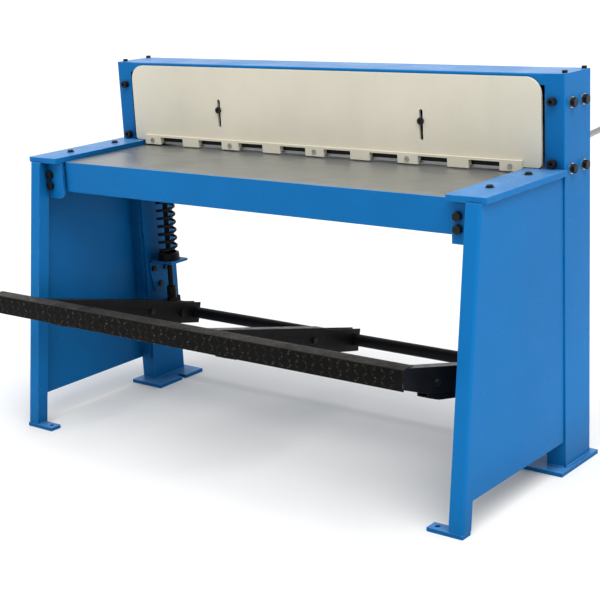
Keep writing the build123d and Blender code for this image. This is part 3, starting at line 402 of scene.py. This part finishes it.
def build(name, mesh_maker, body, slot, replaced=(), smooth=None):
    """Makes a mesh piece from a function that fills a bmesh, and lets it ride on a body."""
    bm = bmesh.new()
    mesh_maker(bm)
    bmesh.ops.recalc_face_normals(bm, faces=bm.faces)
    mesh = bpy.data.meshes.new(name)
    bm.to_mesh(mesh)
    bm.free()
    obj = bpy.data.objects.new(name, mesh)
    bpy.context.scene.collection.objects.link(obj)
    mesh.shade_smooth()
    if smooth is not None:
        mesh.set_sharp_from_angle(angle=math.radians(smooth))
    dress(obj, slot)
    if body:
        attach(obj, body)
    if replaced:
        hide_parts(*replaced)
    return obj


# ---------------------------------------------------------------- tubes

def ring_of_corners(bm, centre, side, up, radius, count):
    """Corners round a centre, in the plane of two directions."""
    angles = (2 * math.pi * k / count for k in range(count))
    return [bm.verts.new(centre + (side * math.cos(a) + up * math.sin(a)) * radius) for a in angles]


def skin(bm, rings):
    """Joins a row of rings with side faces and closes both ends."""
    for low, high in zip(rings, rings[1:]):
        for k in range(len(low)):
            after = (k + 1) % len(low)
            bm.faces.new((low[k], low[after], high[after], high[k]))
    bm.faces.new(rings[0][::-1])
    bm.faces.new(rings[-1])


def add_tube(bm, path, radius):
    """A closed round tube along a list of points."""
    rings = []
    for i, point in enumerate(path):
        ahead = (path[min(i + 1, len(path) - 1)] - path[max(i - 1, 0)]).normalized()
        side = ahead.cross(Vector((0, 0, 1))).normalized()
        rings.append(ring_of_corners(bm, point, side, side.cross(ahead), radius, WIRE_SIDES))
    skin(bm, rings)


# ---------------------------------------------------------------- springs

def coil_path(centre, low, high, mean, wire, turns):
    """Centre line of a compression spring with closed end coils, from low to high."""
    bottom, top = low + wire, high - wire
    end_rise = END_TURNS * 2 * wire * END_PITCH
    total = turns + 2 * END_TURNS
    points = []
    for i in range(int(total * STEPS_PER_TURN) + 1):
        turn = i / STEPS_PER_TURN
        if turn < END_TURNS:
            z = bottom + end_rise * turn / END_TURNS
        elif turn > total - END_TURNS:
            z = top - end_rise * (total - turn) / END_TURNS
        else:
            z = bottom + end_rise + (top - bottom - 2 * end_rise) * (turn - END_TURNS) / turns
        a = 2 * math.pi * turn
        points.append(Vector((centre[0] + mean * math.cos(a), centre[1] + mean * math.sin(a), z)))
    return points


def spring(name, centre, node, size, replaced=()):
    """A spring as high as a CAD node that stretches between two bodies."""
    low, high = (corner.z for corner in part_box(node))

    def fill(bm):
        add_tube(bm, coil_path(centre, low, high, **size), size["wire"])

    obj = build(name, fill, None, "spring_steel", replaced)
    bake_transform(obj)


def add_springs():
    """The first spring of each kind replaces the CAD node that holds them all."""
    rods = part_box("link_rods")
    rod_x, rod_y = rods[1].x - ROD_RADIUS, (rods[0].y + rods[1].y) / 2
    for side, sign in (("left", -1), ("right", 1)):
        spring(
            f"return_spring_{side}", (sign * rod_x, rod_y), "return_springs", RETURN_SPRING,
            ("return_springs",) if sign < 0 else (),
        )
    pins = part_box("guide_pins")
    pin_y = (pins[0].y + pins[1].y) / 2
    for i, x in enumerate(GUIDE_PIN_X):
        spring(
            f"hold_down_spring_{i}", (x, pin_y), "hold_down_springs", HOLD_DOWN_SPRING,
            ("hold_down_springs",) if i == 0 else (),
        )


# ---------------------------------------------------------------- chequered foot bar

def add_mark(bm, centre, out, along):
    """A raised tread mark: a pointed oval dome that stands on a plate, its root inside the plate."""
    across = out.cross(along)
    rings = []
    for level, size in MARK_LEVELS:
        ring = []
        for k in range(MARK_CORNERS):
            a = 2 * math.pi * k / MARK_CORNERS
            # An oval drawn in between its ends and its waist looks pointed.
            reach = 1.0 - 0.38 * abs(math.sin(a)) ** 0.5 * abs(math.cos(a))
            lengthwise = along * (math.cos(a) * MARK_LENGTH / 2 * size * reach)
            crosswise = across * (math.sin(a) * MARK_WIDTH / 2 * size)
            ring.append(bm.verts.new(centre + out * (MARK_RISE * level) + lengthwise + crosswise))
        rings.append(ring)
    skin(bm, rings)


def chequer_bar(bm):
    """An angle of chequer plate: flanges with a rounded corner, marks on the front and the top."""
    low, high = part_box("foot_bar")
    front, top = low.y + MARK_RISE, high.z - MARK_RISE
    outline = [(front, low.z)]
    for k in range(BEND_STEPS + 1):
        a = math.pi / 2 * k / BEND_STEPS
        outline.append((front + BEND_RADIUS * (1 - math.cos(a)), top - BEND_RADIUS * (1 - math.sin(a))))
    inside, under = front + PLATE_THICK, top - PLATE_THICK + MARK_RISE
    outline += [(high.y, top), (high.y, under), (inside, under), (inside, low.z)]
    skin(bm, [[bm.verts.new((x, y, z)) for y, z in outline] for x in (low.x, high.x)])

    # Each face of the angle: its first mark, the way the rows go, the way out, rows, row spacing.
    upwards, backwards = Vector((0, 0, 1)), Vector((0, 1, 0))
    faces = (
        (Vector((0, front, low.z + 0.010)), upwards, -backwards, 3, 0.0180),
        (Vector((0, front + 0.014, top)), backwards, upwards, 2, 0.0195),
    )
    for i in range(int((high.x - low.x - MARK_MARGIN) / MARK_PITCH)):
        shift = Vector((low.x + MARK_FIRST + MARK_PITCH * i, 0, 0))
        for start, climb, out, rows, step in faces:
            for row in range(rows):
                slant = 1 if (i + row) % 2 else -1
                along = (Vector((1, 0, 0)) + climb * slant).normalized()
                add_mark(bm, start + climb * (row * step) + shift, out, along)


# ---------------------------------------------------------------- weld beads

def add_bead(bm, start, end, radius, seed):
    """A rippled, slightly uneven weld bead along a line, where the seed varies the ripple."""
    start, end = Vector(start), Vector(end)
    ahead = (end - start).normalized()
    side = ahead.cross(Vector((0, 0, 1))).normalized()
    up = side.cross(ahead)
    rings = []
    count = max(8, int((end - start).length / BEAD_STEP))
    for i in range(count + 1):
        point = start.lerp(end, i / count)
        waves = 0.10 * math.sin(2 * math.pi * i / 3.2 + seed)
        lumps = 0.14 * noise.noise(point * 90 + Vector((seed, 0, 0)))
        taper = min(1.0, 0.35 + 0.25 * min(i, count - i))
        size = radius * (1 + waves + lumps) * taper
        rings.append(ring_of_corners(bm, point, side, up, size, BEAD_SIDES))
    skin(bm, rings)


def frame_welds(bm):
    """Beads round the columns on their foot plates and inside the legs on theirs."""
    for side in ("left", "right"):
        column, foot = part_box(f"rear_column_{side}"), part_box("rear_feet")
        leg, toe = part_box(f"side_frame_{side}"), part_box("front_feet")
        left, right = column[0].x, column[1].x
        front, back = column[0].y, column[1].y
        plate_top, toe_top = foot[1].z, toe[1].z
        gap = COLUMN_BEAD_GAP
        for seed, x in enumerate((left, right)):
            add_bead(bm, (x, front + gap, plate_top), (x, back - gap, plate_top), COLUMN_BEAD, seed)
        for seed, y in enumerate((front, back), start=5):
            add_bead(bm, (left + gap, y, plate_top), (right - gap, y, plate_top), COLUMN_BEAD, seed)
        inner = leg[1].x - LEG_WIDTH if side == "right" else leg[0].x + LEG_WIDTH
        bead_front, bead_back = toe[0].y + LEG_BEAD_FRONT_GAP, toe[1].y - LEG_BEAD_BACK_GAP
        add_bead(bm, (inner, bead_front, toe_top), (inner, bead_back, toe_top), LEG_BEAD, 11)


# ---------------------------------------------------------------- CAD pieces

def round_edges(obj, width):
    """Breaks the sharp edges of a CAD piece, as paint and deburring do."""
    weld = obj.modifiers.new("weld", "WELD")
    weld.merge_threshold = WELD_DISTANCE
    bevel = obj.modifiers.new("edges", "BEVEL")
    bevel.width, bevel.segments, bevel.limit_method = width, BEVEL_STEPS, "ANGLE"
    bevel.angle_limit = math.radians(BEVEL_ANGLE)
    bevel.harden_normals = True
    bevel.use_clamp_overlap = True


# ---------------------------------------------------------------- floor

def floor():
    """A wide pale floor under the machine."""
    bm = bmesh.new()
    bmesh.ops.create_grid(bm, x_segments=2, y_segments=2, size=FLOOR_REACH)
    mesh = bpy.data.meshes.new("floor")
    bm.to_mesh(mesh)
    bm.free()
    obj = bpy.data.objects.new("floor", mesh)
    bpy.context.scene.collection.objects.link(obj)
    s = Surface("studio_floor", specular_ior_level=0.1)
    grain = s.noise(3, 4, 0.5)
    s.finish(s.mix(s.ramp(grain, 0.3, 0.7), *FLOOR_TONES), s.ramp(grain, 0.3, 0.7, 0.8, 0.9))
    mesh.materials.append(s.material)


# ---------------------------------------------------------------- the scene

add_springs()
build("chequer_foot_bar", chequer_bar, "treadle", "chequer_plate", ("foot_bar",), smooth=35)
build("frame_welds", frame_welds, "frame", "blue_paint", smooth=60)

for node, obj in NODES.items():
    dress(obj, SLOTS[node])
    if node in EDGE_WIDTH:
        round_edges(obj, EDGE_WIDTH[node])

floor()
aim_camera()
studio_sky(front=SKY_FRONT, back=SKY_BACK, zenith=SKY_ZENITH)
sun("soft_key", SUN_TOWARDS, SUN_STRENGTH, SUN_SPREAD, SUN_COLOUR)
bpy.context.scene.view_settings.view_transform = "Standard"
